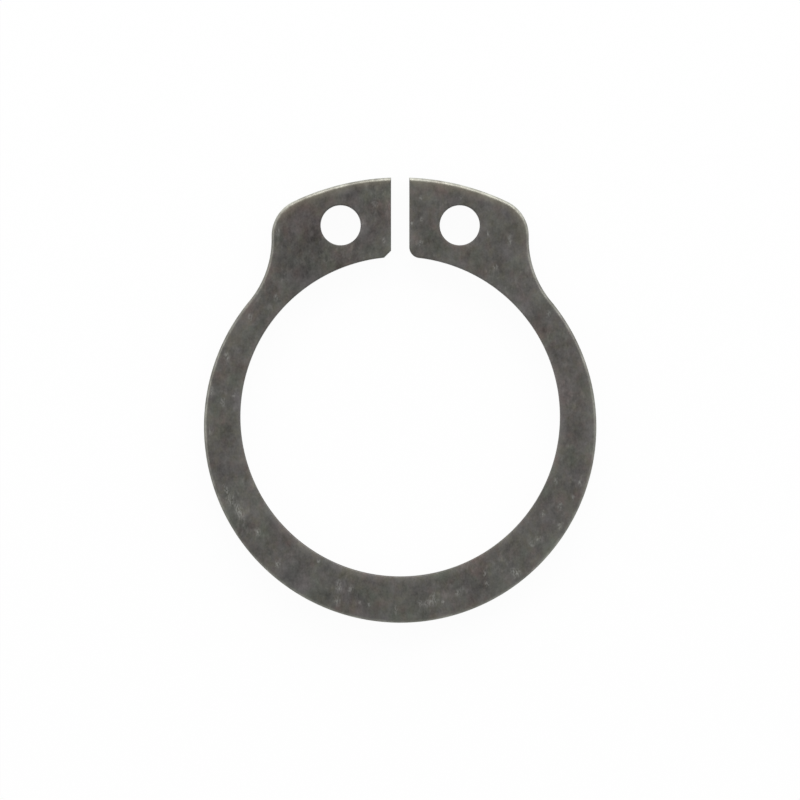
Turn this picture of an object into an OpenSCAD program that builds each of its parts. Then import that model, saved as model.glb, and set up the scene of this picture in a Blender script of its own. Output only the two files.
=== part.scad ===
// Retaining ring with lugs for a groove round a shaft, blanked from spring steel strip.
// It lies flat on z = 0, its bore is centred on the z axis and its gap opens towards +y.
// The outside is drawn about a centre shifted away from the gap, so the arc tapers to the lugs.

/* [Spring arc] */
// Diameter of the bore while the ring is off its shaft
bore_d = 14.7; // [12:0.1:18]
// Radial width at the back, opposite the gap
back_width = 2.13; // [1.6:0.01:2.6]
// Radial width that the arc tapers towards at the front
front_width = 1.22; // [0.8:0.01:1.6]
// Thickness of the strip
thickness = 1; // [0.8:0.05:1.5]

/* [Lugs] */
// Height of the lugs beside the gap, out from the bore
lug_height = 3.65; // [3.1:0.05:4.5]
// Width across the flanks of both lugs
lug_span = 11.83; // [10:0.01:14]
// Radius of the shoulder between the top of a lug and its flank
shoulder_r = 1.75; // [1:0.05:2.5]
// Straight length of a flank between shoulder and neck
flank_length = 0.14; // [0.04:0.02:0.6]

/* [Gap] */
// Width of the gap between the lugs
gap_width = 0.84; // [0.5:0.02:1.6]
// Chamfer at the foot of the left lug, where the gap meets the bore
left_chamfer = 0.32; // [0.2:0.02:0.6]
// Radius at the foot of the right lug, where the gap meets the bore
right_corner_r = 0.5; // [0.3:0.05:0.8]

/* [Plier holes] */
// Diameter of the holes that take the tips of the pliers
hole_d = 1.84; // [1.4:0.02:2.2]
// Distance between the centres of the two holes
hole_spacing = 5.48; // [4.6:0.02:6.4]
// Distance from the edge of the bore to the centre of a hole
hole_seat = 1.87; // [1.6:0.01:2.1]

/* [Edges] */
// Radius of the rolled outer edge on the upper face
outer_roll = 0.25; // [0.1:0.01:0.3]
// Radius of the rolled edges of bore, gap and holes on the lower face
inner_roll = 0.15; // [0.05:0.01:0.2]

/* [Hidden] */
$fn = 180;

// Angle at which a rolled edge runs into the face and the wall beside it
roll_angle = 12;
// How far one arc runs past the next, so that their edges cross and do not only touch
overlap = 0.001;
// How far a cut runs out into the air
clear = 0.3;

bore_r = bore_d / 2;
// Radius of the outside of the arc, and the distance of its centre behind the bore's
arc_r = bore_r + (back_width + front_width) / 2;
arc_shift = (back_width - front_width) / 2;
// The top of the lugs shares the centre of the arc's outside
lug_r = bore_r + lug_height + arc_shift;
hole_pitch_r = bore_r + hole_seat;
hole_y = sqrt(pow(hole_pitch_r, 2) - pow(hole_spacing / 2, 2));

// Places below are measured from the centre of the arc's outside
flank_x = lug_span / 2;
shoulder = [flank_x - shoulder_r, sqrt(pow(lug_r - shoulder_r, 2) - pow(flank_x - shoulder_r, 2))];
flank_end_y = shoulder.y - flank_length;
// The neck is the one arc that touches the flank at its end and the outside of the arc
neck_r = (pow(flank_x, 2) + pow(flank_end_y, 2) - pow(arc_r, 2)) / (2 * (arc_r - flank_x));
neck = [flank_x + neck_r, flank_end_y];
// Directions from that centre in which shoulder and neck touch the arcs beside them
shoulder_angle = atan2(shoulder.y, shoulder.x);
neck_angle = atan2(neck.y, neck.x);

// Places below are measured from the bore's centre
gap_x = gap_width / 2;
right_corner_x = gap_x + right_corner_r;
right_corner = [right_corner_x, sqrt(pow(bore_r + right_corner_r, 2) - pow(right_corner_x, 2))];
right_corner_angle = atan2(right_corner.y, right_corner.x);
left_foot_y = sqrt(pow(bore_r, 2) - pow(gap_x + left_chamfer, 2));

// Sharp corner to be taken off outside a rounding of radius r, between two directions from its centre
module corner_waste(centre, r, from_angle, to_angle) {
    half_angle = (to_angle - from_angle) / 2;
    middle_angle = from_angle + half_angle;
    reach = r + clear;
    difference() {
        polygon([
            centre,
            centre + reach * [cos(from_angle), sin(from_angle)],
            centre + reach / cos(half_angle) * [cos(middle_angle), sin(middle_angle)],
            centre + reach * [cos(to_angle), sin(to_angle)],
        ]);
        translate(centre)
            circle(r = r + overlap);
    }
}

// Both lugs with the roots of their necks, from the arc's centre out to a plain top
module lug_block() {
    intersection() {
        circle(r = lug_r);
        polygon([
            [0, 0],
            neck,
            [flank_x, neck.y],
            [flank_x, lug_r],
            [-flank_x, lug_r],
            [-flank_x, neck.y],
            [-neck.x, neck.y],
        ]);
    }
}

module outside() {
    difference() {
        union() {
            circle(r = arc_r);
            lug_block();
        }
        for (side = [0, 1])
            mirror([side, 0]) {
                translate(neck)
                    circle(r = neck_r + overlap);
                corner_waste(shoulder, shoulder_r, 0, shoulder_angle);
            }
    }
}

// Bore, gap with its two unlike feet, and plier holes
module openings() {
    circle(r = bore_r);
    translate([-gap_x, 0])
        square([gap_width, lug_r]);
    polygon([
        [-gap_x, left_foot_y + left_chamfer],
        [-gap_x - left_chamfer, left_foot_y],
        [-gap_x, left_foot_y - left_chamfer],
    ]);
    corner_waste(right_corner, right_corner_r, 180, 180 + right_corner_angle);
    for (x = [-hole_spacing / 2, hole_spacing / 2])
        translate([x, hole_y])
            circle(d = hole_d);
}

// Section of the metal lost at a rolled edge that lies at [0, 0], with air towards side.x and side.y
module roll_section(roll, side) {
    inset = roll * cos(roll_angle);
    difference() {
        translate(side * (clear - inset) / 2)
            square(clear + inset, center = true);
        translate(-side * inset)
            circle(r = roll);
    }
}

// Rolled edge along an arc: air_side is 1 where the air is outside the arc, and -1 inside it
module roll_along_arc(centre, r, roll, air_side, face_side, from_angle = 0, sweep = 360) {
    translate([centre.x, centre.y, face_side > 0 ? thickness : 0])
        rotate_extrude(angle = sweep, start = from_angle)
            translate([r, 0])
                roll_section(roll, [air_side, face_side]);
}

// Rolled edge along a line that runs clockwise round the metal, with the air in direction air_angle
module roll_along_line(start, length, roll, air_angle, face_side) {
    translate([start.x, start.y, face_side > 0 ? thickness : 0])
        rotate([90, 0, air_angle])
            linear_extrude(height = length)
                roll_section(roll, [1, face_side]);
}

// The punch draws the upper edge in all round the outside
module outer_rolls() {
    translate([0, -arc_shift, 0]) {
        roll_along_arc([0, 0], lug_r, outer_roll, 1, 1);
        roll_along_arc([0, 0], arc_r, outer_roll, 1, 1, 180 - neck_angle, 180 + 2 * neck_angle);
        for (side = [0, 1])
            mirror([side, 0, 0]) {
                roll_along_arc(shoulder, shoulder_r + overlap, outer_roll, 1, 1, 0, shoulder_angle);
                roll_along_line([flank_x, shoulder.y + clear], clear + flank_length, outer_roll, 0, 1);
                roll_along_arc(neck, neck_r + overlap, outer_roll, -1, 1);
            }
    }
}

// The openings are pierced from the other side, so their edges are rolled on the lower face
module inner_rolls() {
    roll_along_arc([0, 0], bore_r, inner_roll, -1, -1);
    roll_along_line([gap_x, 0], lug_r, inner_roll, 180, -1);
    roll_along_line([-gap_x, lug_r], lug_r, inner_roll, 0, -1);
    roll_along_line(
        [-gap_x + clear, left_foot_y + left_chamfer + clear],
        sqrt(2) * (left_chamfer + 2 * clear), inner_roll, -45, -1
    );
    roll_along_arc(
        right_corner, right_corner_r + overlap, inner_roll, 1, -1,
        180, right_corner_angle
    );
    for (x = [-hole_spacing / 2, hole_spacing / 2])
        roll_along_arc([x, hole_y], hole_d / 2, inner_roll, -1, -1);
}

module retaining_ring() {
    color([0.35, 0.34, 0.33])
        difference() {
            linear_extrude(height = thickness)
                difference() {
                    translate([0, -arc_shift])
                        outside();
                    openings();
                }
            outer_rolls();
            inner_rolls();
        }
}

retaining_ring();
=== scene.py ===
# %% [markdown]
# # A retaining ring, dressed in Blender
# The object is one flat ring of spring steel with two lugs and a gap between them. It snaps into
# a groove round a shaft and keeps a bearing or a gear from sliding off. A press blanks it from
# strip, then it is hardened, tumbled and dipped in a phosphate bath, which leaves the dark,
# slightly blotchy grey that we see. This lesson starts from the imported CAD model, gives the ring
# the edges that a press leaves, and then paints, lights and photographs it.

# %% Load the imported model
import math

import bpy
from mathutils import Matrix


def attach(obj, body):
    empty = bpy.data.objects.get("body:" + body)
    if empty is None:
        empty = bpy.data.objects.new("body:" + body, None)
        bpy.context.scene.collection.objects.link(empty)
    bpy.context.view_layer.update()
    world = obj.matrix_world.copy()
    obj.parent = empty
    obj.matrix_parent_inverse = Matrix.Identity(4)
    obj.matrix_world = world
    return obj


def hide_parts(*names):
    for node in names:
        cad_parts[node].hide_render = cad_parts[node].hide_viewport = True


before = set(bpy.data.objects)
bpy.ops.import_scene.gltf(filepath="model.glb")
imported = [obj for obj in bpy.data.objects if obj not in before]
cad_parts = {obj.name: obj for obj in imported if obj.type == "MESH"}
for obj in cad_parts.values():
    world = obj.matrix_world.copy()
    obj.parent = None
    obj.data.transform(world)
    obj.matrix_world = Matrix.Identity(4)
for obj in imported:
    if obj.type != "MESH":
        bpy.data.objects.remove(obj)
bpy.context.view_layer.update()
MM = 0.001
scene = bpy.context.scene
print("CAD nodes:", sorted(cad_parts))

# %% [markdown]
# ## The sizes
# Blender can't read the OpenSCAD source, so the same driving sizes stand here again, in
# millimetres. A second short list holds what the solid leaves out: how wide the band beside an
# edge is, how far the torn part of the wall leans, how much a tumbled edge is broken.

# %% Sizes of the ring, in millimetres
RING_SIZES = {
    "Bore Diameter": 14.7,
    "Back Width": 2.13,
    "Front Width": 1.22,
    "Thickness": 1.0,
    "Lug Height": 3.65,
    "Lug Span": 11.83,
    "Shoulder Radius": 1.75,
    "Flank Length": 0.14,
    "Gap Width": 0.84,
    "Left Chamfer": 0.32,
    "Right Corner Radius": 0.5,
    "Hole Diameter": 1.84,
    "Hole Spacing": 5.48,
    "Hole Seat": 1.87,
}
EDGE_SIZES = {
    "Outer Roll Width": 0.21,
    "Outer Roll Depth": 0.22,
    "Inner Roll Width": 0.115,
    "Inner Roll Depth": 0.14,
    "Edge Break": 0.035,
    "Face Band": 0.3,
    "Crown": 0.018,
    "Polish": 0.002,
    "Torn Height": 0.5,
    "Torn Lean": 0.02,
    "Torn Depth": 0.012,
}
SEED = 7
print(len(RING_SIZES), "sizes of the outline and", len(EDGE_SIZES), "of its edges")

# %% [markdown]
# ## Sums as nodes
# The outline is a chain of arcs and lines, and every point where two of them meet comes from a
# sum, as in the CAD source. In a node tree each plus sign is a Math node. A small class lets us
# write the sums with ordinary signs, and it lays the nodes for us, so the tree stays correct
# and the code stays readable.

# %% A value that lays Math nodes
class Term:
    """A value in a node tree. Adding or multiplying it lays a Math node."""

    def __init__(self, tree, socket):
        self.tree = tree
        self.socket = socket

    def math(self, operation, *others):
        node = self.tree.nodes.new("ShaderNodeMath")
        node.operation = operation
        for slot, value in zip(node.inputs, (self, *others)):
            if isinstance(value, Term):
                self.tree.links.new(value.socket, slot)
            else:
                slot.default_value = value
        return Term(self.tree, node.outputs[0])

    def __add__(self, other):
        return self.math("ADD", other)

    def __radd__(self, other):
        return self.math("ADD", other)

    def __sub__(self, other):
        return self.math("SUBTRACT", other)

    def __rsub__(self, other):
        return self.math("MULTIPLY", -1.0).math("ADD", other)

    def __mul__(self, other):
        return self.math("MULTIPLY", other)

    def __rmul__(self, other):
        return self.math("MULTIPLY", other)

    def __truediv__(self, other):
        return self.math("DIVIDE", other)

    def __neg__(self):
        return self.math("MULTIPLY", -1.0)


def root(value):
    return value.math("SQRT")


def sine(value):
    return value.math("SINE")


def cosine(value):
    return value.math("COSINE")


def squared(value):
    return value * value


def share(value):
    """The value held between 0 and 1."""
    return value.math("MAXIMUM", 0.0).math("MINIMUM", 1.0)


print("sums can be written with + - * / and a few named functions")

# %% [markdown]
# ## The tree and its inputs
# Geometry Nodes suit this ring because its shape follows a rule: change the bore and all the
# arcs move with it. The tree gets one named input for each size, so the ring can be reworked
# from the modifier without opening the tree.

# %% Start the ring's tree
ring_tree = bpy.data.node_groups.new("Retaining ring", "GeometryNodeTree")
ring_tree.interface.new_socket("Geometry", in_out="OUTPUT", socket_type="NodeSocketGeometry")
for size_name in (*RING_SIZES, *EDGE_SIZES):
    size_socket = ring_tree.interface.new_socket(
        size_name, in_out="INPUT", socket_type="NodeSocketFloat"
    )
    size_socket.subtype = "DISTANCE"
ring_tree.interface.new_socket("Seed", in_out="INPUT", socket_type="NodeSocketInt")
ring_tree.interface.new_socket("Finish", in_out="INPUT", socket_type="NodeSocketMaterial")
ring_in = ring_tree.nodes.new("NodeGroupInput")
ring_out = ring_tree.nodes.new("NodeGroupOutput")


def lay(kind, **settings):
    """A new node of this kind in the ring's tree, with its settings."""
    node = ring_tree.nodes.new(kind)
    for name, value in settings.items():
        setattr(node, name, value)
    return node


def size(name):
    """The tree's input of this name."""
    return Term(ring_tree, ring_in.outputs[name])


def join_up(source, target):
    ring_tree.links.new(source, target)


print("inputs of the tree:", len(ring_in.outputs) - 1)

# %% [markdown]
# ## Where the arcs meet
# The outside is drawn about a centre that lies a little behind the bore's, which makes the ring
# thickest opposite the gap. Shoulder and neck touch their neighbours, so their centres follow
# from the widths by Pythagoras. These are the same sums as in the CAD source.

# %% Centres and radii of the outline
bore_r = size("Bore Diameter") / 2.0
arc_r = bore_r + (size("Back Width") + size("Front Width")) / 2.0
arc_shift = (size("Back Width") - size("Front Width")) / 2.0
lug_r = bore_r + size("Lug Height") + arc_shift
gap_x = size("Gap Width") / 2.0
hole_x = size("Hole Spacing") / 2.0
hole_y = root(squared(bore_r + size("Hole Seat")) - squared(hole_x))
flank_x = size("Lug Span") / 2.0
shoulder_r = size("Shoulder Radius")
shoulder_x = flank_x - shoulder_r
shoulder_y = root(squared(lug_r - shoulder_r) - squared(shoulder_x))
flank_end_y = shoulder_y - size("Flank Length")
neck_r = (squared(flank_x) + squared(flank_end_y) - squared(arc_r)) / (2.0 * (arc_r - flank_x))
neck_x = flank_x + neck_r
shoulder_angle = shoulder_y.math("ARCTAN2", shoulder_x)
neck_angle = flank_end_y.math("ARCTAN2", neck_x)
corner_r = size("Right Corner Radius")
corner_x = gap_x + corner_r
corner_y = root(squared(bore_r + corner_r) - squared(corner_x))
corner_angle = corner_y.math("ARCTAN2", corner_x)
chamfer = size("Left Chamfer")
chamfer_top_y = root(squared(bore_r) - squared(gap_x + chamfer)) + chamfer
print("the outline is worked out in", len(ring_tree.nodes), "nodes so far")

# %% [markdown]
# ## One grid for the whole edge
# We take a flat grid and bend it round the ring. Its columns walk along the outline with the
# metal on their left, and its rows climb from the lower face, over the lower edge, up the wall
# and over the upper edge. Each vertex works out its column and row from its index.

# %% Columns along the outline, rows up the wall
SEGMENT_STEPS = {
    "left lug top": 40,
    "left shoulder": 36,
    "left flank": 2,
    "left neck": 44,
    "spring arc": 420,
    "right neck": 44,
    "right flank": 2,
    "right shoulder": 36,
    "right lug top": 40,
    "right gap wall": 40,
    "right corner": 14,
    "bore": 460,
    "left chamfer": 6,
    "left gap wall": 40,
}
FACE_ROWS = 4
ROLL_ROWS = 8
WALL_ROWS = 12
HOLE_COLUMNS = 96
ROUNDING_GUARD = 0.25
HALF_STEP = 0.5
columns = 0
segment_starts = {}
for segment_name, steps in SEGMENT_STEPS.items():
    segment_starts[segment_name] = columns
    columns += steps
outside_columns = segment_starts["right gap wall"]
rows = 2 * FACE_ROWS + 2 * ROLL_ROWS + WALL_ROWS + 1

vertex = Term(ring_tree, lay("GeometryNodeInputIndex").outputs["Index"])
column_count = ((vertex + ROUNDING_GUARD) / float(rows)).math("FLOOR")
row = vertex - column_count * float(rows)
column = column_count.math("MODULO", float(columns))
hole_column = column_count.math("MODULO", float(HOLE_COLUMNS))
print(columns, "columns round the ring and", rows, "rows up its wall")

# %% [markdown]
# ## What the press leaves on an edge
# A punch first draws the metal in, which rounds the edge where it enters. Then it shears a
# smooth band, and the rest tears off rough and leans away. The outside is cut from above, so
# its roll is on the upper face. Bore, gap and holes are pierced from below, so theirs is on the
# lower face. The rows give each vertex its height and how far it lies in from the outline.

# %% Height and inset of each row
QUARTER_TURN = math.pi / 2


def stage_of_row(first, count):
    """0 before row first, 1 from row first + count on."""
    return share((row - float(first)) / float(count))


lower_face = 1.0 - stage_of_row(0, FACE_ROWS)
lower_turn = stage_of_row(FACE_ROWS, ROLL_ROWS) * QUARTER_TURN
climb = stage_of_row(FACE_ROWS + ROLL_ROWS, WALL_ROWS)
upper_turn = stage_of_row(FACE_ROWS + ROLL_ROWS + WALL_ROWS, ROLL_ROWS) * QUARTER_TURN
upper_face = stage_of_row(FACE_ROWS + 2 * ROLL_ROWS + WALL_ROWS, FACE_ROWS)

walk = column * (2.0 * math.pi / columns)
WAVE_SCALE = 9.0
WAVE_DETAIL = 3.0
WAVE_SHARE = 0.24
walk_circle = lay("ShaderNodeCombineXYZ")
join_up(cosine(walk).socket, walk_circle.inputs["X"])
join_up(sine(walk).socket, walk_circle.inputs["Y"])
join_up(ring_in.outputs["Seed"], walk_circle.inputs["Z"])
wave_noise = lay("ShaderNodeTexNoise", noise_dimensions="3D")
wave_noise.inputs["Scale"].default_value = WAVE_SCALE
wave_noise.inputs["Detail"].default_value = WAVE_DETAIL
join_up(walk_circle.outputs["Vector"], wave_noise.inputs["Vector"])
wave = 1.0 - Term(ring_tree, wave_noise.outputs["Fac"]) * WAVE_SHARE

roll_width = size("Outer Roll Width") * wave
inner_depth = size("Inner Roll Depth")
crown = size("Crown")
torn_height = size("Torn Height")
face_inset = size("Face Band") * (squared(lower_face) + squared(upper_face))
near_lower = 1.0 - squared(lower_face)
near_upper = 1.0 - squared(upper_face)


def edge_height(roll_depth):
    """Height of a vertex where the outer roll has this depth."""
    wall_height = size("Thickness") - 2.0 * crown - roll_depth - inner_depth
    return (
        crown * squared(near_lower)
        + inner_depth * (1.0 - cosine(lower_turn))
        + wall_height * climb
        + roll_depth * sine(upper_turn)
        + crown * (1.0 - squared(near_upper))
    )


def broken_edge(distance):
    """Inset of a lightly rounded edge at this distance from the face."""
    edge_break = size("Edge Break")
    left_over = edge_break - distance.math("MAXIMUM", 0.0).math("MINIMUM", edge_break)
    half_chord = root((squared(edge_break) - squared(left_over)).math("MAXIMUM", 0.0))
    return edge_break - half_chord


def pierced_wall(height):
    """Inset of a pierced wall at this height, and how far it is torn there."""
    from_top = size("Thickness") - crown - height
    torn = share((torn_height - from_top) / torn_height)
    inset = (
        face_inset
        + size("Inner Roll Width") * (1.0 - sine(lower_turn))
        + broken_edge(from_top)
        + torn * size("Torn Lean")
    )
    return inset, torn


height = edge_height(size("Outer Roll Depth") * wave)
torn_low = share((torn_height - height) / torn_height)
outer_inset = (
    size("Polish")
    + face_inset
    + roll_width * (1.0 - cosine(upper_turn))
    + broken_edge(height - crown)
    + torn_low * size("Torn Lean")
)
inner_inset, torn_high = pierced_wall(height)
print("rows:", FACE_ROWS, "on each face,", ROLL_ROWS, "in each roll and", WALL_ROWS, "up the wall")

# %% [markdown]
# ## The chain of arcs, moved in by the inset
# An arc that is moved in keeps its centre and only changes its radius, so each row runs exactly
# parallel to the outline. At the gap's corners two walls meet, and the corner point of each row
# is where the two shifted walls cross.

# %% The segments of the outline
lug_top_r = lug_r - outer_inset
gap_wall_x = gap_x + inner_inset
gap_top_y = root(squared(lug_top_r) - squared(gap_wall_x)) - arc_shift
gap_top_angle = gap_wall_x.math("DIVIDE", lug_top_r).math("ARCSINE")
bore_wall_r = bore_r + inner_inset
DIAGONAL = math.sqrt(2.0)
chamfer_line = gap_x + chamfer_top_y + inner_inset * DIAGONAL
foot_y = (chamfer_line + root(squared(bore_wall_r) * 2.0 - squared(chamfer_line))) / 2.0
foot_x = foot_y - chamfer_line
foot_angle = foot_y.math("ARCTAN2", foot_x) - 2.0 * math.pi
chamfer_end_y = chamfer_top_y + inner_inset * (DIAGONAL - 1.0)

zero = column * 0.0
segment_number = zero
for start in list(segment_starts.values())[1:]:
    segment_number = segment_number + column.math("GREATER_THAN", start - HALF_STEP)
segment_places = {}


def along_segment(name):
    """0 at the start of the segment and 1 at its end."""
    return share((column - float(segment_starts[name])) / float(SEGMENT_STEPS[name]))


def add_place(name, place_x, place_y):
    """Keeps where this segment puts a vertex."""
    joined = lay("ShaderNodeCombineXYZ")
    join_up(place_x.socket, joined.inputs["X"])
    join_up(place_y.socket, joined.inputs["Y"])
    join_up(height.socket, joined.inputs["Z"])
    segment_places[name] = joined.outputs["Vector"]


def add_arc(name, centre_x, centre_y, radius, start, end):
    angle = start + (end - start) * along_segment(name)
    add_place(name, centre_x + radius * cosine(angle), centre_y + radius * sine(angle))


def add_line(name, start_x, start_y, end_x, end_y):
    along = along_segment(name)
    add_place(name, start_x + (end_x - start_x) * along, start_y + (end_y - start_y) * along)


behind = -arc_shift
half_turn = zero + math.pi
add_arc("left lug top", zero, behind, lug_top_r, gap_top_angle + QUARTER_TURN,
        half_turn - shoulder_angle)
add_arc("left shoulder", -shoulder_x, shoulder_y + behind, shoulder_r - outer_inset,
        half_turn - shoulder_angle, half_turn)
add_line("left flank", outer_inset - flank_x, shoulder_y + behind,
         outer_inset - flank_x, flank_end_y + behind)
add_arc("left neck", -neck_x, flank_end_y + behind, neck_r + outer_inset, zero, -neck_angle)
add_arc("spring arc", zero, behind, arc_r - outer_inset, half_turn - neck_angle,
        neck_angle + 2.0 * math.pi)
add_arc("right neck", neck_x, flank_end_y + behind, neck_r + outer_inset,
        half_turn + neck_angle, half_turn)
add_line("right flank", flank_x - outer_inset, flank_end_y + behind,
         flank_x - outer_inset, shoulder_y + behind)
add_arc("right shoulder", shoulder_x, shoulder_y + behind, shoulder_r - outer_inset,
        zero, shoulder_angle)
add_arc("right lug top", zero, behind, lug_top_r, shoulder_angle,
        QUARTER_TURN - gap_top_angle)
add_line("right gap wall", gap_wall_x, gap_top_y, gap_wall_x, corner_y)
add_arc("right corner", corner_x, corner_y, corner_r - inner_inset, half_turn,
        half_turn + corner_angle)
add_arc("bore", zero, zero, bore_wall_r, corner_angle, foot_angle)
add_line("left chamfer", foot_x, foot_y, -gap_wall_x, chamfer_end_y)
add_line("left gap wall", -gap_wall_x, chamfer_end_y, -gap_wall_x, gap_top_y)
print(len(segment_places), "segments over", columns, "columns")

# %% [markdown]
# ## Bend the grids
# One grid becomes the outline, and two more become the walls of the plier holes. Each vertex
# also keeps what the paint will need later: whether it lies near the outer or a pierced edge,
# and whether it is on the torn part of the wall.

# %% Grids for the outline and the plier holes
segment_pick = lay("GeometryNodeIndexSwitch", data_type="VECTOR")
for _ in range(len(segment_places) - 2):
    segment_pick.index_switch_items.new()
join_up(segment_number.socket, segment_pick.inputs[0])
for number, segment_name in enumerate(SEGMENT_STEPS):
    join_up(segment_places[segment_name], segment_pick.inputs[number + 1])

WELD = 1e-7
EDGE_FADE = 8.0
RIM_REACH = 0.25
near_edge = near_lower + near_upper - 1.0
on_outside = column.math("LESS_THAN", outside_columns + HALF_STEP)
rim_on_wall = share((climb - (1.0 - RIM_REACH)) / RIM_REACH)
rim_on_face = share(near_edge * EDGE_FADE)


def bent_grid(column_total, place, marks):
    """A grid whose vertices go to place, closed to a tube, with these marks kept on them."""
    grid = lay("GeometryNodeMeshGrid")
    grid.inputs["Vertices X"].default_value = column_total + 1
    grid.inputs["Vertices Y"].default_value = rows
    flow = grid.outputs["Mesh"]
    for name, value in marks.items():
        keep = lay("GeometryNodeStoreNamedAttribute", data_type="FLOAT", domain="POINT")
        keep.inputs["Name"].default_value = name
        join_up(flow, keep.inputs["Geometry"])
        join_up(value.socket, keep.inputs["Value"])
        flow = keep.outputs["Geometry"]
    moved = lay("GeometryNodeSetPosition")
    join_up(flow, moved.inputs["Geometry"])
    join_up(place, moved.inputs["Position"])
    weld = lay("GeometryNodeMergeByDistance")
    weld.inputs["Distance"].default_value = WELD
    join_up(moved.outputs["Geometry"], weld.inputs["Geometry"])
    return weld.outputs["Geometry"]


outline_marks = {
    "rolled_edge": near_edge * on_outside,
    "roll_turn": cosine(upper_turn) * rim_on_wall * rim_on_face * on_outside,
    "pierced_edge": near_edge * (1.0 - on_outside),
    "torn": torn_low * on_outside + torn_high * (1.0 - on_outside),
    "row": row,
}
hole_height = edge_height(size("Outer Roll Depth"))
hole_inset, hole_torn = pierced_wall(hole_height)
hole_marks = {
    "rolled_edge": zero,
    "roll_turn": zero,
    "pierced_edge": near_edge,
    "torn": hole_torn,
    "row": row,
}
walls = lay("GeometryNodeJoinGeometry")
join_up(bent_grid(columns, segment_pick.outputs[0], outline_marks), walls.inputs["Geometry"])
hole_angle = hole_column * (-2.0 * math.pi / HOLE_COLUMNS)
hole_wall_r = size("Hole Diameter") / 2.0 + hole_inset
for side in (-1.0, 1.0):
    hole_place = lay("ShaderNodeCombineXYZ")
    join_up((hole_x * side + hole_wall_r * cosine(hole_angle)).socket, hole_place.inputs["X"])
    join_up((hole_y + hole_wall_r * sine(hole_angle)).socket, hole_place.inputs["Y"])
    join_up(hole_height.socket, hole_place.inputs["Z"])
    join_up(bent_grid(HOLE_COLUMNS, hole_place.outputs["Vector"], hole_marks),
            walls.inputs["Geometry"])
print("walls of the outline and of", 2, "plier holes")

# %% [markdown]
# ## Close the two faces
# The first and last rows of all three grids lie flat on the lower and the upper face. Those
# loops become curves, and Fill Curve spans them, leaving the plier holes open. The faces are
# then welded to the walls.

# %% Upper and lower face
def filled_face(row_number, level, flip):
    """The flat face inside this row of the walls."""
    stored = lay("GeometryNodeInputNamedAttribute", data_type="FLOAT")
    stored.inputs["Name"].default_value = "row"
    off = (Term(ring_tree, stored.outputs["Attribute"]) - float(row_number)).math("ABSOLUTE")
    loops = lay("GeometryNodeMeshToCurve")
    join_up(walls.outputs["Geometry"], loops.inputs["Mesh"])
    join_up(off.math("LESS_THAN", HALF_STEP).socket, loops.inputs["Selection"])
    fill = lay("GeometryNodeFillCurve")
    join_up(loops.outputs["Curve"], fill.inputs["Curve"])
    lift = lay("GeometryNodeSetPosition")
    offset = lay("ShaderNodeCombineXYZ")
    join_up(level.socket, offset.inputs["Z"])
    join_up(fill.outputs["Mesh"], lift.inputs["Geometry"])
    join_up(offset.outputs["Vector"], lift.inputs["Offset"])
    if not flip:
        return lift.outputs["Geometry"]
    turned = lay("GeometryNodeFlipFaces")
    join_up(lift.outputs["Geometry"], turned.inputs["Mesh"])
    return turned.outputs["Mesh"]


shell = lay("GeometryNodeJoinGeometry")
join_up(walls.outputs["Geometry"], shell.inputs["Geometry"])
join_up(filled_face(rows - 1, size("Thickness"), False), shell.inputs["Geometry"])
join_up(filled_face(0, zero, True), shell.inputs["Geometry"])
shell_weld = lay("GeometryNodeMergeByDistance")
shell_weld.inputs["Distance"].default_value = WELD
join_up(shell.outputs["Geometry"], shell_weld.inputs["Geometry"])
print("two faces welded to the walls")

# %% [markdown]
# ## Roughen the torn band
# Where the metal tears, the wall is grainy. Vertices in that band move in by a random depth,
# always into the metal, so the ring never grows. They move only sideways, because the two faces
# have to stay flat. Edges steeper than a set angle stay crisp and the rest is shaded smooth.

# %% Torn band, shading and finish
TORN_GRAIN = 0.09 * MM
TORN_DETAIL = 2.0
CRISP_ANGLE = math.radians(40.0)
torn_mark = lay("GeometryNodeInputNamedAttribute", data_type="FLOAT")
torn_mark.inputs["Name"].default_value = "torn"
torn_noise = lay("ShaderNodeTexNoise", noise_dimensions="4D")
torn_noise.inputs["Scale"].default_value = 1.0 / TORN_GRAIN
torn_noise.inputs["Detail"].default_value = TORN_DETAIL
join_up(lay("GeometryNodeInputPosition").outputs["Position"], torn_noise.inputs["Vector"])
join_up(ring_in.outputs["Seed"], torn_noise.inputs["W"])
bite = (
    Term(ring_tree, torn_noise.outputs["Fac"])
    * Term(ring_tree, torn_mark.outputs["Attribute"])
    * size("Torn Depth")
)
inward = lay("ShaderNodeVectorMath", operation="SCALE")
join_up(lay("GeometryNodeInputNormal").outputs["Normal"], inward.inputs["Vector"])
join_up((-bite).socket, inward.inputs["Scale"])
flat_inward = lay("ShaderNodeVectorMath", operation="MULTIPLY")
flat_inward.inputs[1].default_value = (1.0, 1.0, 0.0)
join_up(inward.outputs["Vector"], flat_inward.inputs[0])
bitten = lay("GeometryNodeSetPosition")
join_up(shell_weld.outputs["Geometry"], bitten.inputs["Geometry"])
join_up(flat_inward.outputs["Vector"], bitten.inputs["Offset"])

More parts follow.
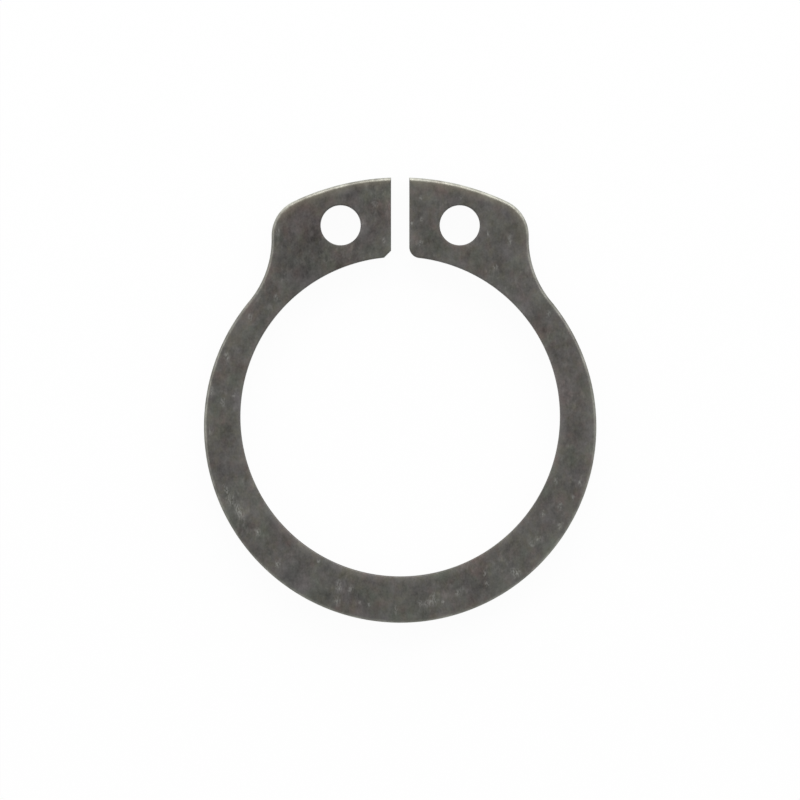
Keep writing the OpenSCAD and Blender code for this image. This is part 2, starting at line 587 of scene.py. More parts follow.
edge_angle = lay("GeometryNodeInputMeshEdgeAngle")
crisp = Term(ring_tree, edge_angle.outputs["Unsigned Angle"]).math("LESS_THAN", CRISP_ANGLE)
smooth_faces = lay("GeometryNodeSetShadeSmooth", domain="FACE")
join_up(bitten.outputs["Geometry"], smooth_faces.inputs["Geometry"])
smooth_edges = lay("GeometryNodeSetShadeSmooth", domain="EDGE")
join_up(smooth_faces.outputs["Geometry"], smooth_edges.inputs["Geometry"])
join_up(crisp.socket, smooth_edges.inputs["Shade Smooth"])
drop_rows = lay("GeometryNodeRemoveAttribute")
drop_rows.inputs["Name"].default_value = "row"
join_up(smooth_edges.outputs["Geometry"], drop_rows.inputs["Geometry"])
realize = lay("GeometryNodeRealizeInstances")
join_up(drop_rows.outputs["Geometry"], realize.inputs["Geometry"])
set_finish = lay("GeometryNodeSetMaterial")
join_up(realize.outputs["Geometry"], set_finish.inputs["Geometry"])
join_up(ring_in.outputs["Finish"], set_finish.inputs["Material"])
join_up(set_finish.outputs["Geometry"], ring_out.inputs["Geometry"])
print("the tree is complete with", len(ring_tree.nodes), "nodes")

# %% [markdown]
# ## Effects for the phosphate coat
# Phosphated steel is never one flat grey. The bath leaves cloudy patches, the rolled strip shows
# as faint lines along its length, the coat itself is a fine crystal grain, and handling rubs it
# lighter in places. Each effect is a node group with named inputs, which gives out only a mask,
# so it can be used several times with other values.

# %% Helpers for the shader groups
def shader_group(name, inputs, outputs):
    """A shader node group with named number inputs and outputs."""
    group = bpy.data.node_groups.new(name, "ShaderNodeTree")
    for input_name, value in inputs.items():
        socket = group.interface.new_socket(
            input_name, in_out="INPUT", socket_type="NodeSocketFloat"
        )
        socket.default_value = value
    for output_name in outputs:
        group.interface.new_socket(output_name, in_out="OUTPUT", socket_type="NodeSocketFloat")
    return group, group.nodes.new("NodeGroupInput"), group.nodes.new("NodeGroupOutput")


def object_place(tree):
    """X, Y and Z of the surface in millimetres, as terms."""
    coordinates = tree.nodes.new("ShaderNodeTexCoord")
    parts = tree.nodes.new("ShaderNodeSeparateXYZ")
    tree.links.new(coordinates.outputs["Object"], parts.inputs["Vector"])
    return [Term(tree, parts.outputs[axis]) / MM for axis in "XYZ"]


def noise_at(tree, place, detail):
    """Noise between 0 and 1 at a place made of three terms."""
    joined = tree.nodes.new("ShaderNodeCombineXYZ")
    for axis, value in zip("XYZ", place):
        tree.links.new(value.socket, joined.inputs[axis])
    noise = tree.nodes.new("ShaderNodeTexNoise")
    noise.inputs["Scale"].default_value = 1.0
    noise.inputs["Detail"].default_value = detail
    tree.links.new(joined.outputs["Vector"], noise.inputs["Vector"])
    return Term(tree, noise.outputs["Fac"])


def spread(value, low, high):
    """0 below low, 1 above high, and a soft step between."""
    step = value.tree.nodes.new("ShaderNodeMapRange")
    step.interpolation_type = "SMOOTHSTEP"
    step.clamp = False  # a soft step never leaves 0 to 1
    value.tree.links.new(value.socket, step.inputs["Value"])
    step.inputs["From Min"].default_value = low
    step.inputs["From Max"].default_value = high
    return Term(value.tree, step.outputs["Result"])


print("helpers for groups, places and noise")

# %% Group: patches and lines, noise of any size
PATCH_DETAIL = 3.0
patch_group, patch_in, patch_out = shader_group(
    "Coat pattern",
    {"Size X": 1.0, "Size Y": 1.0, "Shift": 0.0, "Low": 0.3, "High": 0.7},
    ["Mask"],
)
patch_x, patch_y, patch_z = object_place(patch_group)
patch_shift = Term(patch_group, patch_in.outputs["Shift"])
patch_size_x = Term(patch_group, patch_in.outputs["Size X"])
patch_size_y = Term(patch_group, patch_in.outputs["Size Y"])
patch_noise = noise_at(
    patch_group,
    (
        patch_x / patch_size_x + patch_shift,
        patch_y / patch_size_y - patch_shift,
        patch_z / patch_size_x + patch_shift,
    ),
    PATCH_DETAIL,
)
patch_low = Term(patch_group, patch_in.outputs["Low"])
patch_high = Term(patch_group, patch_in.outputs["High"])
patch_mask = share((patch_noise - patch_low) / (patch_high - patch_low))
patch_group.links.new(patch_mask.socket, patch_out.inputs["Mask"])
print("group Coat pattern:", len(patch_group.nodes), "nodes")

# %% Group: a rubbed fleck at one place
FLECK_FALL = 1.7
fleck_group, fleck_in, fleck_out = shader_group(
    "Rubbed fleck",
    {"Place X": 0.0, "Place Y": 0.0, "Length": 0.5, "Width": 0.2, "Lean": 0.0, "Ragged": 0.0},
    ["Mask"],
)
fleck_x, fleck_y = object_place(fleck_group)[:2]
fleck_ragged = Term(fleck_group, fleck_in.outputs["Ragged"])
# The push comes before the place in the sum: all marks then share it, and the shader stays small.
from_x = fleck_x + fleck_ragged - Term(fleck_group, fleck_in.outputs["Place X"])
from_y = fleck_y + fleck_ragged - Term(fleck_group, fleck_in.outputs["Place Y"])
fleck_lean = Term(fleck_group, fleck_in.outputs["Lean"])
across = from_x * cosine(fleck_lean) + from_y * sine(fleck_lean)
along = from_y * cosine(fleck_lean) - from_x * sine(fleck_lean)
fleck_far = root(
    squared(across / Term(fleck_group, fleck_in.outputs["Width"]))
    + squared(along / Term(fleck_group, fleck_in.outputs["Length"]))
)
fleck_group.links.new(share(1.0 - fleck_far * FLECK_FALL).socket, fleck_out.inputs["Mask"])
print("group Rubbed fleck:", len(fleck_group.nodes), "nodes")

# %% Group: a soft patch at one place
spot_group, spot_in, spot_out = shader_group(
    "Soft patch",
    {"Place X": 0.0, "Place Y": 0.0, "Reach": 1.0, "Wander": 0.0},
    ["Mask"],
)
spot_x, spot_y = object_place(spot_group)[:2]
spot_wander = Term(spot_group, spot_in.outputs["Wander"])
spot_far = root(
    squared(spot_x + spot_wander - Term(spot_group, spot_in.outputs["Place X"]))
    + squared(spot_y - spot_wander - Term(spot_group, spot_in.outputs["Place Y"]))
)
spot_mask = spread(1.0 - spot_far / Term(spot_group, spot_in.outputs["Reach"]), 0.0, 1.0)
spot_group.links.new(spot_mask.socket, spot_out.inputs["Mask"])
print("group Soft patch:", len(spot_group.nodes), "nodes")

# %% [markdown]
# ## The finish
# The material is built up as the real surface was: first the coat, then the edge that tumbling
# has polished, then the unevenness of the whole, then the marks of handling. A few short helpers
# place the groups and mix the colours.

# %% Helpers for the material
steel = bpy.data.materials.new("phosphated_steel")
steel.use_nodes = True
steel_tree = steel.node_tree
steel_tree.nodes.clear()


def masked(group, values, links=()):
    """The mask of a group, with these values on its inputs and these terms linked to them."""
    node = steel_tree.nodes.new("ShaderNodeGroup")
    node.node_tree = group
    for name, value in values.items():
        node.inputs[name].default_value = value
    for name, term in links:
        steel_tree.links.new(term.socket, node.inputs[name])
    return Term(steel_tree, node.outputs["Mask"])


def pattern(size_x, size_y, shift, low=0.3, high=0.7):
    """Noise of this size in millimetres, 0 where it is under low and 1 where it is over high."""
    values = {"Size X": size_x, "Size Y": size_y, "Shift": shift, "Low": low, "High": high}
    return masked(patch_group, values)


def fleck(ragged, place_x, place_y, length, width, lean):
    """One rub mark, its outline pushed about by the ragged term."""
    place = {"Place X": place_x, "Place Y": place_y}
    values = {**place, "Length": length, "Width": width, "Lean": lean}
    return masked(fleck_group, values, [("Ragged", ragged)])


def soft_spots(spots, wander):
    """The sum of soft patches, each given as x, y, reach and strength."""
    total = 0.0
    for place_x, place_y, reach, strength in spots:
        place = {"Place X": place_x, "Place Y": place_y, "Reach": reach}
        total = masked(spot_group, place, [("Wander", wander)]) * strength + total
    return total


def mark(name):
    """What the ring's tree has kept on the mesh under this name."""
    node = steel_tree.nodes.new("ShaderNodeAttribute")
    node.attribute_type = "GEOMETRY"
    node.attribute_name = name
    return Term(steel_tree, node.outputs["Fac"])


def mixed(factor, first, second, blend="MIX"):
    """A colour between two, each a tuple or a socket."""
    node = steel_tree.nodes.new("ShaderNodeMix")
    node.data_type = "RGBA"
    node.blend_type = blend
    if isinstance(factor, Term):
        steel_tree.links.new(factor.socket, node.inputs["Factor"])
    else:
        node.inputs["Factor"].default_value = factor
    for slot, colour in ((node.inputs["A"], first), (node.inputs["B"], second)):
        if isinstance(colour, tuple):
            slot.default_value = (*colour, 1.0)
        else:
            steel_tree.links.new(colour, slot)
    return node.outputs["Result"]


rolled_edge = mark("rolled_edge")
roll_turn = mark("roll_turn")
pierced_edge = mark("pierced_edge")
torn_band = mark("torn")
print("marks on the mesh: rolled_edge, roll_turn, pierced_edge and torn")

# %% [markdown]
# ## The coat
# The coat starts as one grey. Noise pulls it towards brown and green, and soft spots put the
# larger warm and green areas where the photograph has them. A spot with a strength under 0 is
# green. Small flecks of brown and olive lie over that, and some patches are almost neutral, with
# a second set of spots for those, olive under 0. One slow noise pushes all the spots about a
# little, so none of them is a plain disc.

# %% Grey, with brown and green patches
COAT_GREY = (0.0936, 0.0899, 0.0848)
COAT_BROWN = (0.1035, 0.084, 0.0775)
COAT_GREEN = (0.0875, 0.0935, 0.0795)
COAT_OLIVE = (0.0955, 0.0915, 0.0735)
COAT_NEUTRAL = (0.0945, 0.0893, 0.0905)
PATCH_STRENGTH = 0.85
NEUTRAL_STRENGTH = 0.8
YELLOW_FLECK_STRENGTH = 0.65
BROWN_FLECK_STRENGTH = 0.5
WANDER = 0.8
# Each spot: x, y and reach in millimetres, and strength.
WARM_SPOTS = (
    (-4.8, 9.6, 1.4, 1.0),
    (-4.2, 8.8, 1.1, 0.6),
    (-1.7, 10.6, 0.7, 0.4),
    (2.3, -7.2, 0.8, 0.35),
    (3.0, -8.6, 0.8, 0.3),
    (-2.9, 7.6, 0.9, 0.3),
    (-5.3, 5.5, 0.8, 0.3),
    (-3.1, 10.1, 0.9, 0.35),
    (7.5, 1.2, 1.3, 0.6),
    (3.1, 10.2, 1.0, 0.5),
    (3.4, -6.8, 1.0, 0.5),
    (6.6, 3.7, 0.9, 0.4),
    (-1.6, -7.5, 0.9, 0.4),
    (-5.9, 6.8, 0.9, 0.35),
    (3.4, 7.1, 0.8, 0.35),
    (-0.8, 9.0, 0.8, 0.35),
    (-4.2, -8.1, 1.4, -0.7),
    (4.9, -7.7, 1.3, -0.55),
    (-1.1, 7.6, 0.9, -0.5),
    (1.1, -9.1, 0.9, -0.45),
    (6.7, 5.2, 0.9, -0.4),
    (-7.9, -4.3, 1.1, -0.4),
    (4.4, 6.2, 0.8, -0.35),
    (2.5, 7.2, 0.9, -0.4),
    (3.8, 10.0, 0.8, -0.35),
    (-7.7, -0.1, 0.9, -0.35),
    (0.7, -7.6, 0.8, -0.35),
    (-5.6, 8.3, 0.8, -0.3),
    (0.7, 10.7, 0.7, -0.4),
    (-8.7, -0.6, 0.8, -0.35),
    (-6.8, 3.7, 0.9, -0.35),
    (4.5, 8.6, 1.0, -0.3),
    (7.0, -5.6, 1.1, -0.3),
)
# The same again, neutral above 0 and olive under it.
NEUTRAL_SPOTS = (
    (-4.8, -7.5, 1.3, 0.7),
    (-4.4, 6.4, 1.2, 0.7),
    (-1.6, 8.4, 0.9, 0.5),
    (7.5, 1.2, 1.0, 0.5),
    (5.3, 5.6, 0.9, 0.5),
    (-2.4, 10.3, 0.8, 0.4),
    (5.4, 8.3, 1.1, -0.45),
    (5.0, -5.5, 1.0, -0.5),
    (-2.6, -7.1, 0.9, -0.6),
    (-3.9, 10.1, 0.8, -0.5),
    (-8.7, -0.7, 0.9, -0.45),
    (-7.8, 3.6, 0.9, -0.45),
    (0.7, -7.5, 0.8, -0.4),
)
wander = (pattern(0.8, 1.0, 5.9) - 0.5) * WANDER
warmth = soft_spots(WARM_SPOTS, wander)
neutral = soft_spots(NEUTRAL_SPOTS, wander)
brown_patch = pattern(1.2, 1.4, 3.1, low=0.5) * PATCH_STRENGTH
green_patch = pattern(1.0, 1.2, 11.7, low=0.5) * PATCH_STRENGTH
neutral_patch = pattern(1.1, 1.5, 31.9, low=0.53) * NEUTRAL_STRENGTH
yellow_fleck = pattern(0.3, 0.4, 7.7, low=0.47) * YELLOW_FLECK_STRENGTH
brown_fleck = pattern(0.34, 0.44, 25.3, low=0.47) * BROWN_FLECK_STRENGTH
coat = mixed(share(brown_patch + warmth + brown_fleck), COAT_GREY, COAT_BROWN)
coat = mixed(share(green_patch - warmth), coat, COAT_GREEN)
coat = mixed(share(yellow_fleck - neutral), coat, COAT_OLIVE)
coat = mixed(share(neutral_patch + neutral), coat, COAT_NEUTRAL)
print("coat:", len(WARM_SPOTS), "warm and green spots,", len(NEUTRAL_SPOTS), "neutral and olive")

# %% [markdown]
# ## The polished roll, with a painted highlight
# Tumbling wears the coat off where the ring is most exposed, which is the rolled outer edge, and
# the lighter rim also stands for the light that this edge catches, a painted highlight. It is
# lightest at the wall and fades over the roll. On the lugs, which face the lamp beyond the gap,
# the painted highlight is lighter still and a little wider, and the coat beside it is yellowish.
# Noise makes the wear and the highlight uneven along the edge.

# %% Lighter outer edge: wear and painted highlight
COAT_YELLOW = (0.108, 0.1, 0.078)
# The rim greys are worn steel and a painted highlight together; the lighter lug grey is a painted
# highlight where the lugs face the lamp beyond the gap.
RIM_GREY = (0.26, 0.262, 0.232)
LUG_RIM_HIGHLIGHT_GREY = (0.43, 0.435, 0.387)
LUG_START = 8.0
LUG_FULL = 9.6
LUG_WIDENING = 0.3
LEAST_WEAR_AND_HIGHLIGHT = 0.45
WEAR_AND_HIGHLIGHT_RANGE = 0.6
YELLOW_BAND = 0.6
place_y = object_place(steel_tree)[1]
lug_top = spread(place_y, LUG_START, LUG_FULL)
coat = mixed(rolled_edge * lug_top * YELLOW_BAND, coat, COAT_YELLOW)
# Noise makes the rim's wear and painted highlight uneven along the edge.
rim_wear_and_highlight = pattern(0.5, 0.5, 13.9) * WEAR_AND_HIGHLIGHT_RANGE + LEAST_WEAR_AND_HIGHLIGHT
rim_share = roll_turn * (roll_turn + (1.0 - roll_turn) * lug_top * LUG_WIDENING) * rim_wear_and_highlight
rim_colour = mixed(lug_top, RIM_GREY, LUG_RIM_HIGHLIGHT_GREY)
coat = mixed(share(rim_share), coat, rim_colour)
print("rim: full strength above y =", LUG_FULL, "mm")

# %% [markdown]
# ## Light and dark areas
# The face is mottled at every size, from areas as wide as a lug down to single crystals. Each
# layer of noise adds or takes a share of the brightness, and soft spots again stand for the
# areas that the photograph shows; the lighter spots just inside the lug tops are a painted
# highlight that widens the rim's. Toward its edges the face is a little lighter. Beside the rolled
# edge, most on the lug tops, this band is a painted highlight that widens the rim's, and along the
# lower half of the bore, which faces the lamp beyond the gap, it is a painted highlight too.

# %% Brightness of the coat
BASE_TONE = 0.984
CLUSTER_GAIN = 0.4
PIERCED_GAIN = 0.16
# Gains of the painted highlight beside the bore, the rolled edge and the lug tops:
BORE_HIGHLIGHT_GAIN = 0.2
ROLLED_HIGHLIGHT_GAIN = 0.14
LUG_HIGHLIGHT_GAIN = 0.22
ARC_FULL = 2.0
ARC_END = 7.0
# The lighter spots near y = 10 mm, just inside the lug tops, are a painted highlight that widens
# the rim's; the other spots make areas lighter or darker.
# Each spot: x, y and reach in millimetres, and strength.
LIGHT_SPOTS = (
    (7.1, -5.5, 2.4, 0.31),
    (6.3, -6.6, 0.9, 0.1),
    (-8.6, 0.0, 1.3, 0.12),
    (-8.2, 2.7, 1.5, 0.28),
    (-8.2, -3.6, 1.2, 0.12),
    (-5.8, -4.9, 0.9, 0.2),
    (-5.8, 7.2, 0.9, 0.14),
    (-2.6, -8.8, 1.0, 0.2),
    (-1.9, -7.3, 0.9, 0.12),
    (2.1, -8.1, 1.4, 0.12),
    (2.6, -7.1, 0.9, 0.14),
    (7.1, 4.8, 0.9, 0.1),
    (5.5, 8.9, 0.9, 0.1),
    (3.6, 6.6, 0.8, 0.16),
    (1.4, 7.5, 0.8, 0.14),
    (-4.2, 6.4, 0.8, 0.14),
    (0.7, 10.6, 0.7, 0.16),
    (-0.8, 10.3, 0.9, 0.38),
    (-2.6, 10.2, 0.8, 0.16),
    (-3.9, 9.9, 0.9, 0.27),
    (-4.1, 8.4, 2.6, -0.3),
    (7.9, -1.7, 1.9, -0.24),
    (7.4, 1.8, 0.9, -0.1),
    (-4.2, -8.0, 1.9, -0.27),
    (-5.5, -6.4, 1.0, -0.13),
    (-1.9, 8.2, 1.1, -0.19),
    (-6.3, 5.9, 1.4, -0.15),
    (0.0, -7.8, 1.1, -0.11),
    (1.3, 8.9, 1.1, -0.2),
    (3.4, 9.8, 1.0, -0.16),
    (4.5, -8.0, 0.8, -0.12),
    (3.8, 8.1, 1.1, -0.09),
)
# Each layer: size across and along in millimetres, shift of the noise, and strength.
TONE_LAYERS = (
    (4.2, 4.6, 5.3, 0.4),
    (1.5, 1.8, 15.3, 0.34),
    (0.66, 0.84, 8.9, 0.34),
    (0.24, 0.32, 19.9, 0.26),
    (0.1, 0.9, 2.7, 0.05),
    (0.09, 0.11, 6.1, 0.24),
)
tone = soft_spots(LIGHT_SPOTS, wander) + BASE_TONE
for size_x, size_y, shift, strength in TONE_LAYERS:
    tone = tone + (pattern(size_x, size_y, shift) - 0.5) * strength
clusters = pattern(1.3, 1.6, 21.3, low=0.46, high=0.62)
specks = pattern(0.16, 0.3, 17.1, low=0.52, high=0.72)
below_lugs = 1.0 - spread(place_y, ARC_FULL, ARC_END)
tone = tone + clusters * specks * CLUSTER_GAIN
# Painted highlight: the lower half of the bore edge faces the lamp beyond the gap, and the band
# beside the rolled edge widens the rim's, most on the lug tops. The pierced edges are also a
# little lighter all round.
tone = tone + pierced_edge * (below_lugs * BORE_HIGHLIGHT_GAIN + PIERCED_GAIN)
tone = tone + rolled_edge * (lug_top * LUG_HIGHLIGHT_GAIN + ROLLED_HIGHLIGHT_GAIN)
tone_colour = steel_tree.nodes.new("ShaderNodeCombineColor")
for channel in ("Red", "Green", "Blue"):
    steel_tree.links.new(tone.socket, tone_colour.inputs[channel])
print("tone:", len(TONE_LAYERS), "layers and", len(LIGHT_SPOTS), "spots")

# %% [markdown]
# ## Rub marks
# Here and there the coat is rubbed through to a paler grey. These marks lie where the photograph
# shows them, each a short ragged fleck, and the strongest one wins where two overlap. They stay
# on the upper half of the ring, because nobody has seen the lower face. The tone is multiplied
# in last, so the marks share the mottling of the coat round them.

# %% Flecks where the coat is rubbed
RUB_GREY = (0.215, 0.215, 0.202)
RUB_STRENGTH = 0.9
RAGGED = 0.16
RAGGED_SIZE = 0.11
RAGGED_DETAIL = 3.0
RUB_GRAIN_X = 0.07
RUB_GRAIN_Y = 0.14
RUB_GRAIN_DETAIL = 2.0
RUB_LOW = 0.37
RUB_HIGH = 0.63
UPPER_START = 0.5
UPPER_FULL = 0.8
# Each mark: x, y, length and width in millimetres, and lean in radians. They go round the ring
# from the gap, as a clock's hand does.
RUB_MARKS = (
    (0.53, 8.9, 0.22, 0.2, 0.0),
    (0.95, 10.04, 0.26, 0.16, 0.0),
    (0.99, 9.08, 0.26, 0.17, 0.0),
    (0.95, 7.97, 0.35, 0.25, 0.0),
    (2.79, 10.09, 0.2, 0.2, 0.0),
    (4.03, 8.39, 0.35, 0.2, 0.0),
    (5.04, 8.11, 0.7, 0.22, 0.0),
    (4.39, 6.87, 0.3, 0.24, 0.8),
    (6.83, 4.71, 0.45, 0.25, 0.0),
    (8.25, -3.06, 0.32, 0.18, 0.0),
    (7.15, -2.96, 0.35, 0.25, 0.0),
    (7.93, -3.7, 0.4, 0.22, 0.0),
    (7.34, -4.1, 0.4, 0.26, 0.0),
    (6.6, -4.44, 0.32, 0.2, 0.0),
    (7.34, -4.99, 0.45, 0.3, -0.4),
    (6.37, -5.63, 0.4, 0.4, -0.5),
    (6.05, -5.86, 0.3, 0.3, -0.5),
    (5.35, -7.2, 0.5, 0.4, -0.5),
    (5.18, -7.1, 0.36, 0.26, 0.0),
    (3.89, -7.2, 0.4, 0.24, 0.0),
    (3.98, -7.7, 0.36, 0.24, 0.3),
    (2.65, -8.06, 0.45, 0.26, -0.5),
    (1.96, -8.53, 0.26, 0.16, 0.0),
    (1.5, -8.3, 0.5, 0.24, 0.0),
    (1.5, -8.45, 0.6, 0.4, 0.2),
    (1.41, -8.52, 0.4, 0.8, 0.3),
    (0.9, -8.57, 0.35, 0.3, 0.2),
    (-0.2, -8.84, 0.55, 0.14, 0.0),
    (-1.45, -8.66, 0.22, 0.16, 0.0),
    (-1.86, -8.53, 0.26, 0.14, 0.5),
    (-2.28, -7.93, 0.42, 0.26, -0.4),
    (-2.87, -8.48, 0.6, 0.28, 0.1),
    (-2.83, -7.8, 0.7, 0.3, 0.0),
    (-3.74, -6.64, 0.26, 0.17, 0.0),
    (-5.63, -6.78, 0.35, 0.25, 0.3),
    (-6.54, -5.31, 0.5, 0.3, 0.4),
    (-7.4, -4.37, 1.0, 0.42, 0.5),
    (-7.8, -3.85, 0.6, 0.5, 0.35),
    (-7.97, -3.43, 0.9, 0.22, 0.35),
    (-8.75, -0.71, 0.3, 0.12, 0.0),
    (-8.15, 0.67, 0.5, 0.26, 0.0),
    (-7.65, 0.99, 0.25, 0.16, 0.0),
    (-8.66, 1.22, 0.5, 0.18, 0.0),
    (-7.95, 2.7, 0.6, 0.22, 0.0),
    (-6.91, 4.57, 0.4, 0.22, 0.0),
    (-5.71, 5.49, 0.4, 0.22, 0.0),
    (-5.63, 8.48, 0.5, 0.25, 0.0),
    (-1.17, 9.77, 0.35, 0.3, 0.0),
    (-0.75, 8.11, 0.28, 0.17, 0.0),
)
rub_x, rub_y, rub_z = object_place(steel_tree)
ragged_place = (rub_x / RAGGED_SIZE, rub_y / RAGGED_SIZE, rub_z)
ragged = (noise_at(steel_tree, ragged_place, RAGGED_DETAIL) - 0.5) * RAGGED
grain_place = (rub_x / RUB_GRAIN_X, rub_y / RUB_GRAIN_Y, rub_z)
rub_grain = spread(noise_at(steel_tree, grain_place, RUB_GRAIN_DETAIL), RUB_LOW, RUB_HIGH)
rub = fleck(ragged, *RUB_MARKS[0])
for rub_mark in RUB_MARKS[1:]:
    rub = rub.math("MAXIMUM", fleck(ragged, *rub_mark))
rub = rub * rub_grain * spread(rub_z, UPPER_START, UPPER_FULL)
coat = mixed(rub * RUB_STRENGTH, coat, RUB_GREY)
coat = mixed(1.0, coat, tone_colour.outputs["Color"], "MULTIPLY")
print("rub marks:", len(RUB_MARKS))

# %% [markdown]
# ## Shine and grain
# The coat is dull, so reflections are wide and weak. The polished roll is a little smoother and
# the torn band rougher. The crystals are far too small for the mesh, so a very low bump stands
# for them.

# %% The phosphated steel shader
COAT_ROUGHNESS = 0.46
ROUGHNESS_RANGE = 0.1
ROLL_SMOOTHER = 0.06
TORN_ROUGHER = 0.12
RIPPLE_GAIN = 1.5
BUMP_STRENGTH = 0.25
BUMP_HEIGHT = 0.006 * MM
METAL_SHARE = 0.6
EDGE_SHINE = 0.2
EDGE_TINT = (0.35, 0.35, 0.33, 1.0)
roughness = (
    COAT_ROUGHNESS
    + (pattern(0.5, 0.8, 4.4) - 0.5) * ROUGHNESS_RANGE
    - rolled_edge * ROLL_SMOOTHER
    + torn_band * TORN_ROUGHER
)
crystals = pattern(0.05, 0.06, 9.2, low=0.2, high=0.8)
ripple = pattern(0.4, 0.6, 1.2, low=0.2, high=0.8)
bump = steel_tree.nodes.new("ShaderNodeBump")
bump.inputs["Strength"].default_value = BUMP_STRENGTH
bump.inputs["Distance"].default_value = BUMP_HEIGHT
steel_tree.links.new((crystals + ripple * RIPPLE_GAIN).socket, bump.inputs["Height"])

steel_shader = steel_tree.nodes.new("ShaderNodeBsdfPrincipled")
steel_shader.inputs["Metallic"].default_value = METAL_SHARE
steel_shader.inputs["Specular IOR Level"].default_value = EDGE_SHINE
steel_shader.inputs["Specular Tint"].default_value = EDGE_TINT
steel_tree.links.new(coat, steel_shader.inputs["Base Color"])
steel_tree.links.new(roughness.socket, steel_shader.inputs["Roughness"])
steel_tree.links.new(bump.outputs["Normal"], steel_shader.inputs["Normal"])
steel_output = steel_tree.nodes.new("ShaderNodeOutputMaterial")
steel_tree.links.new(steel_shader.outputs["BSDF"], steel_output.inputs["Surface"])
print("steel:", len(steel_tree.nodes), "nodes")

# %% [markdown]
# ## Make the ring
# The modifier's inputs are set by their identifiers before the tree first runs. The result is
# copied to a plain mesh, so the finished piece carries no modifier. The copy has an empty slot in
# front of the steel, so its list of materials is made anew.

# %% Run the tree and keep its mesh
holder = bpy.data.objects.new("ring_rule", bpy.data.meshes.new("ring_rule"))
scene.collection.objects.link(holder)
ring_modifier = holder.modifiers.new("Retaining ring", "NODES")
ring_modifier.node_group = ring_tree
identifiers = {
    item.name: item.identifier
    for item in ring_tree.interface.items_tree
    if item.item_type == "SOCKET" and item.in_out == "INPUT"
}
for size_name, value in {**RING_SIZES, **EDGE_SIZES}.items():
    ring_modifier[identifiers[size_name]] = value * MM
ring_modifier[identifiers["Seed"]] = SEED
ring_modifier[identifiers["Finish"]] = steel
depsgraph = bpy.context.evaluated_depsgraph_get()
ring_mesh = bpy.data.meshes.new_from_object(
    holder.evaluated_get(depsgraph), preserve_all_data_layers=True, depsgraph=depsgraph
)
ring_mesh.name = "spring_ring"
bpy.data.objects.remove(holder)
ring_mesh.materials.clear()
ring_mesh.materials.append(steel)
ring = bpy.data.objects.new("spring_ring", ring_mesh)
scene.collection.objects.link(ring)
print("ring:", len(ring_mesh.vertices), "vertices and", len(ring_mesh.polygons), "faces")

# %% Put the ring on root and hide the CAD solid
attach(ring, "root")
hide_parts("retaining_ring")
print("the ring rides on root and stands for the CAD solid")

# %% [markdown]
# ## Table, light and camera
# The photograph is taken from straight above through a long lens, on white, in soft light that
# comes mostly from beyond the gap and catches the rolled edge of the lugs. A white world gives
# the even part. A wide soft lamp beyond the gap and two smaller ones at the sides give the rest.
# The floor and the world look white to the camera and light the ring only in part.

# %% A pale floor that keeps the shadow
FLOOR_HALF = 1.2
FLOOR_DROP = 0.00002
FLOOR_WHITE = (0.95, 0.95, 0.95)
SHADOW_SHARE = 0.04
floor_mesh = bpy.data.meshes.new("floor")
floor_mesh.from_pydata(
    [
        (-FLOOR_HALF, -FLOOR_HALF, -FLOOR_DROP),
        (FLOOR_HALF, -FLOOR_HALF, -FLOOR_DROP),
        (FLOOR_HALF, FLOOR_HALF, -FLOOR_DROP),
        (-FLOOR_HALF, FLOOR_HALF, -FLOOR_DROP),
    ],
    [],
    [(0, 1, 2, 3)],
)
floor = bpy.data.objects.new("floor", floor_mesh)
scene.collection.objects.link(floor)


def seen_directly(tree):
    """1 for camera, glossy and transmission rays, 0 for the rays that light things."""
    path = tree.nodes.new("ShaderNodeLightPath")
    seen = Term(tree, path.outputs["Is Camera Ray"])
    seen = seen.math("MAXIMUM", Term(tree, path.outputs["Is Glossy Ray"]))
    return seen.math("MAXIMUM", Term(tree, path.outputs["Is Transmission Ray"]))


floor_material = bpy.data.materials.new("floor_white")
floor_material.use_nodes = True
floor_tree = floor_material.node_tree
floor_tree.nodes.clear()
floor_paint = floor_tree.nodes.new("ShaderNodeBsdfDiffuse")
floor_paint.inputs["Color"].default_value = (*FLOOR_WHITE, 1.0)
floor_glow = floor_tree.nodes.new("ShaderNodeEmission")
floor_glow.inputs["Strength"].default_value = 1.0
floor_mix = floor_tree.nodes.new("ShaderNodeMixShader")
glow_share = seen_directly(floor_tree) * (1.0 - SHADOW_SHARE)
floor_tree.links.new(glow_share.socket, floor_mix.inputs["Fac"])
floor_tree.links.new(floor_paint.outputs["BSDF"], floor_mix.inputs[1])
floor_tree.links.new(floor_glow.outputs["Emission"], floor_mix.inputs[2])
floor_output = floor_tree.nodes.new("ShaderNodeOutputMaterial")
floor_tree.links.new(floor_mix.outputs["Shader"], floor_output.inputs["Surface"])
floor_mesh.materials.append(floor_material)
print("floor", 2 * FLOOR_HALF, "m wide")

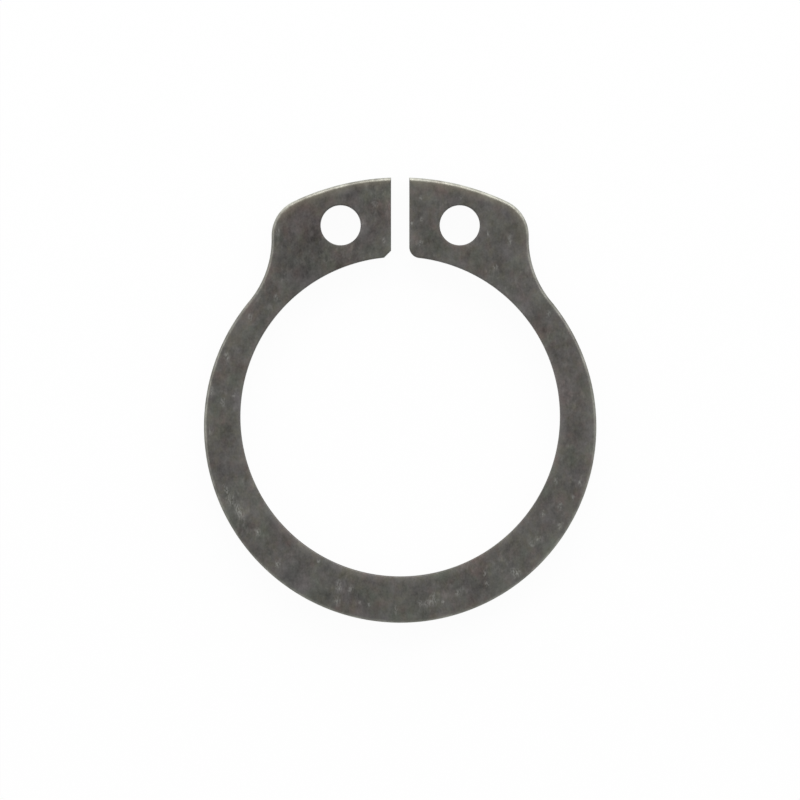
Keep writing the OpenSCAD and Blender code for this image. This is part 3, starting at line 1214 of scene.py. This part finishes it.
# %% White world and soft lamps
WORLD_LEVEL = 0.45
world = bpy.data.worlds.new("studio")
scene.world = world
world.use_nodes = True
world_tree = world.node_tree
world_tree.nodes.clear()
world_light = world_tree.nodes.new("ShaderNodeBackground")
world_light.inputs["Color"].default_value = (1.0, 1.0, 1.0, 1.0)
world_strength = seen_directly(world_tree) * (1.0 - WORLD_LEVEL) + WORLD_LEVEL
world_tree.links.new(world_strength.socket, world_light.inputs["Strength"])
world_output = world_tree.nodes.new("ShaderNodeOutputWorld")
world_tree.links.new(world_light.outputs["Background"], world_output.inputs["Surface"])

LAMP_DISTANCE = 0.36


def soft_lamp(name, azimuth, elevation, radiance, width, height):
    """A rectangular lamp that faces the ring from this azimuth and elevation, in degrees."""
    data = bpy.data.lights.new(name, "AREA")
    data.shape = "RECTANGLE"
    data.size = width
    data.size_y = height
    data.energy = radiance * math.pi * width * height
    lamp = bpy.data.objects.new(name, data)
    scene.collection.objects.link(lamp)
    turn = math.radians(azimuth)
    rise = math.radians(elevation)
    lamp.location = (
        LAMP_DISTANCE * math.cos(turn) * math.cos(rise),
        LAMP_DISTANCE * math.sin(turn) * math.cos(rise),
        LAMP_DISTANCE * math.sin(rise),
    )
    lamp.rotation_mode = "QUATERNION"
    lamp.rotation_quaternion = lamp.location.to_track_quat("Z", "Y")
    lamp.visible_camera = False
    print("lamp", name, round(data.energy, 3), "W")


soft_lamp("window", azimuth=82.0, elevation=25.0, radiance=3.6, width=0.5, height=0.25)
soft_lamp("left_screen", azimuth=170.0, elevation=20.0, radiance=2.3, width=0.3, height=0.2)
soft_lamp("right_screen", azimuth=25.0, elevation=20.0, radiance=1.8, width=0.3, height=0.16)

# %% Camera straight above
VIEW_WIDTH = 36.77 * MM
VIEW_CENTRE = (-0.008 * MM, 0.765 * MM)
FACE_HEIGHT = RING_SIZES["Thickness"] * MM
LENS_DISTANCE = 0.6
SENSOR_WIDTH = 36.0
NEAR_CLIP = 0.01
FAR_CLIP = 10.0
camera_data = bpy.data.cameras.new("camera")
camera_data.sensor_width = SENSOR_WIDTH
camera_data.lens = SENSOR_WIDTH * LENS_DISTANCE / VIEW_WIDTH
camera_data.clip_start = NEAR_CLIP
camera_data.clip_end = FAR_CLIP
camera = bpy.data.objects.new("camera", camera_data)
scene.collection.objects.link(camera)
camera.location = (*VIEW_CENTRE, FACE_HEIGHT + LENS_DISTANCE)
scene.camera = camera
scene.view_settings.view_transform = "Standard"
print("lens", round(camera_data.lens, 1), "mm")
